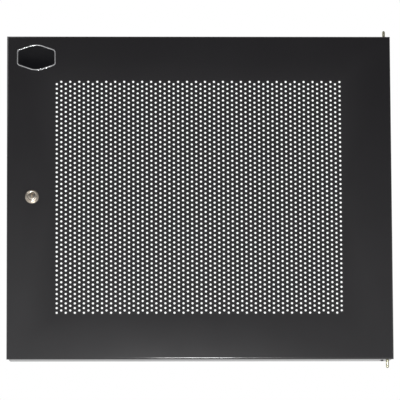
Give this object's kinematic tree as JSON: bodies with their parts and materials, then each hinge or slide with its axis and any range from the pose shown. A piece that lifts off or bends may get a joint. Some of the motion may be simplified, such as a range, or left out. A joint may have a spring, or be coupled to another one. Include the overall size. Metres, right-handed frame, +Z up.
{
  "type": "perforated rack door",
  "caption": "Folded steel front door for a wall-mounted 19 inch cabinet, perforated for airflow, with a cam lock and sprung hinge pins.",
  "frame": {"origin": "hinge axis at the outer face of the bottom flange, where the lower hinge pin's nose starts", "axes": "+X towards the hinge edge, +Y from the front face to the back, +Z up along the hinge axis"},
  "size_m": [0.53, 0.0415, 0.471],
  "materials": {
    "door_paint": "black powder coat, smooth satin",
    "badge_field": "black field in a polished rim, blank",
    "lock_chrome": "chromed die casting",
    "zinc_plate": "zinc plated, passivated",
    "zinc_sheet": "galvanised sheet",
    "rivet_steel": "dark plated rivet",
    "pin_steel": "turned steel, olive passivation",
    "spring_steel": "bright spring wire"
  },
  "bodies": {
    "door": {"door_panel": "door_paint", "badge": "badge_field", "lock_housing": "lock_chrome", "lock_nut": "zinc_plate", "hinge_bracket_lower": "zinc_sheet", "hinge_bracket_upper": "zinc_sheet", "bracket_rivet_lower": "rivet_steel", "bracket_rivet_upper": "rivet_steel", "pin_spring_lower": "spring_steel", "pin_spring_upper": "spring_steel", "earth_stud": "zinc_plate", "earth_washer": "zinc_plate", "earth_nut": "zinc_plate"},
    "lock_barrel": {"lock_plug": "lock_chrome", "lock_stop_plate": "zinc_plate", "lock_cam": "zinc_plate", "cam_washer": "zinc_plate", "cam_screw": "zinc_plate"},
    "lower_pin": {"hinge_pin_lower": "pin_steel", "pin_clip_lower": "spring_steel"},
    "upper_pin": {"hinge_pin_upper": "pin_steel", "pin_clip_upper": "spring_steel"}
  },
  "joints": [
    {"name": "lock_turn", "type": "hinge", "parent": "door", "child": "lock_barrel", "pos_m": [-0.4876, -0.0148, 0.225], "axis": [0, -1, 0], "range_deg": [0, 90]},
    {"name": "lower_pin_pull", "type": "slide", "parent": "door", "child": "lower_pin", "axis": [0, 0, 1], "range_m": [0, 0.0112], "stiffness_N_per_m": 400, "springref_m": -0.01, "deforming": ["pin_spring_lower"]},
    {"name": "upper_pin_pull", "type": "slide", "parent": "door", "child": "upper_pin", "axis": [0, 0, -1], "range_m": [0, 0.0112], "stiffness_N_per_m": 400, "springref_m": -0.01, "deforming": ["pin_spring_upper"]}
  ]
}
